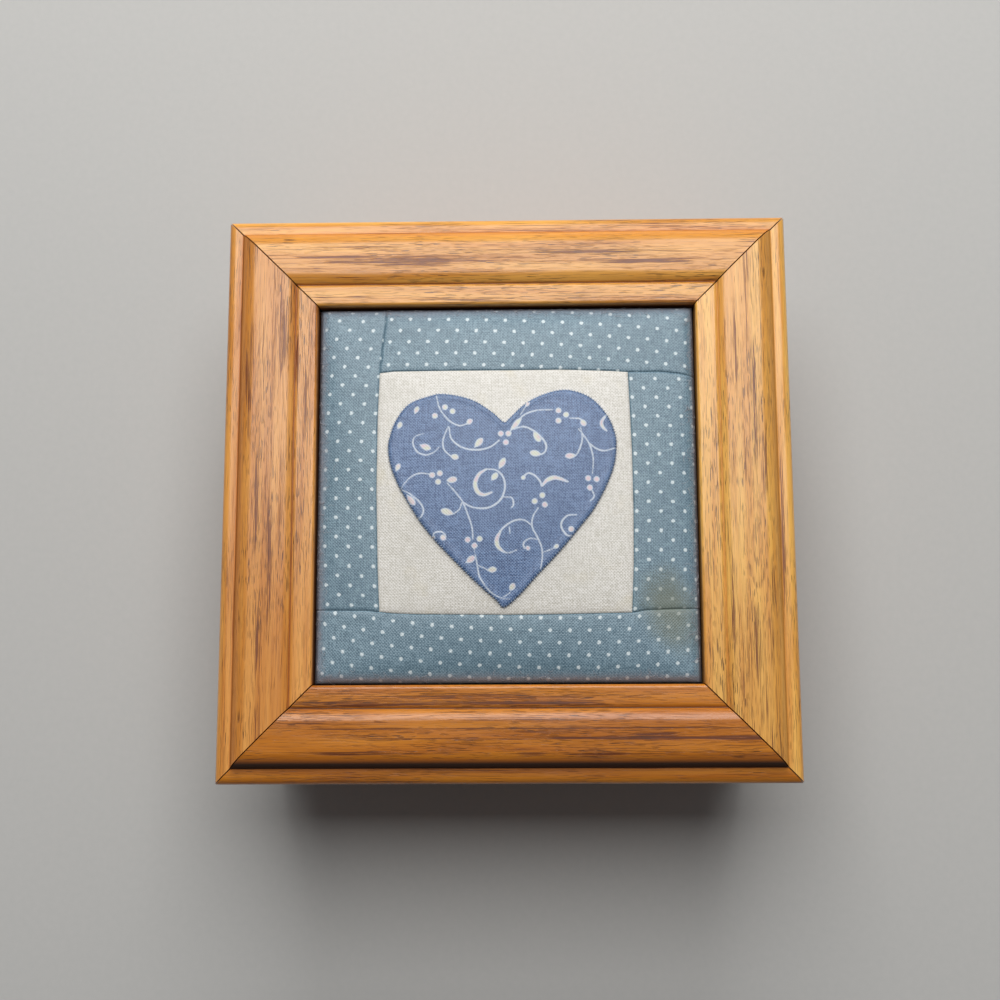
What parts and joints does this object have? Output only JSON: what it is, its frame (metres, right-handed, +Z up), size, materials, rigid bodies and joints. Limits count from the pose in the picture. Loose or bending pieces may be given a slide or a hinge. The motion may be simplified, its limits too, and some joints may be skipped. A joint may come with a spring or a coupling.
{
  "type": "trinket box",
  "caption": "Square oak trinket box with a lift-off lid: a mitred picture-frame moulding round a padded patchwork top with a heart sewn on it.",
  "frame": {"origin": "centre of the box's underside, on the surface that it stands on", "axes": "+Z up out of the lid, +Y towards the side that the heart's lobes point to, +X to the right with the heart's tip towards the viewer"},
  "size_m": [0.1524, 0.1524, 0.0653],
  "materials": {
    "moulding_oak": "golden oak stain under satin varnish, dark open pores along each rail",
    "box_oak": "the same stained oak, plainer and less glossy",
    "panel_wood": "bare light plywood, matt",
    "cream_cotton": "plain-woven cream cotton over wadding, matt",
    "dotted_cotton": "slate-blue cotton with small pale pin dots, over wadding, matt, one corner stained brown",
    "printed_cotton": "mid-blue cotton printed with pale scrolling vines, leaves and berries, matt"
  },
  "bodies": {
    "root": {"box_bottom": "panel_wood", "box_side_front": "box_oak", "box_side_right": "box_oak", "box_side_back": "box_oak", "box_side_left": "box_oak", "lid_rail_front": "moulding_oak", "lid_rail_right": "moulding_oak", "lid_rail_back": "moulding_oak", "lid_rail_left": "moulding_oak", "lid_board": "panel_wood", "quilt_centre": "cream_cotton", "quilt_strip_right": "dotted_cotton", "quilt_strip_back": "dotted_cotton", "quilt_strip_left": "dotted_cotton", "quilt_strip_front": "dotted_cotton", "heart_applique": "printed_cotton"}
  },
  "joints": []
}
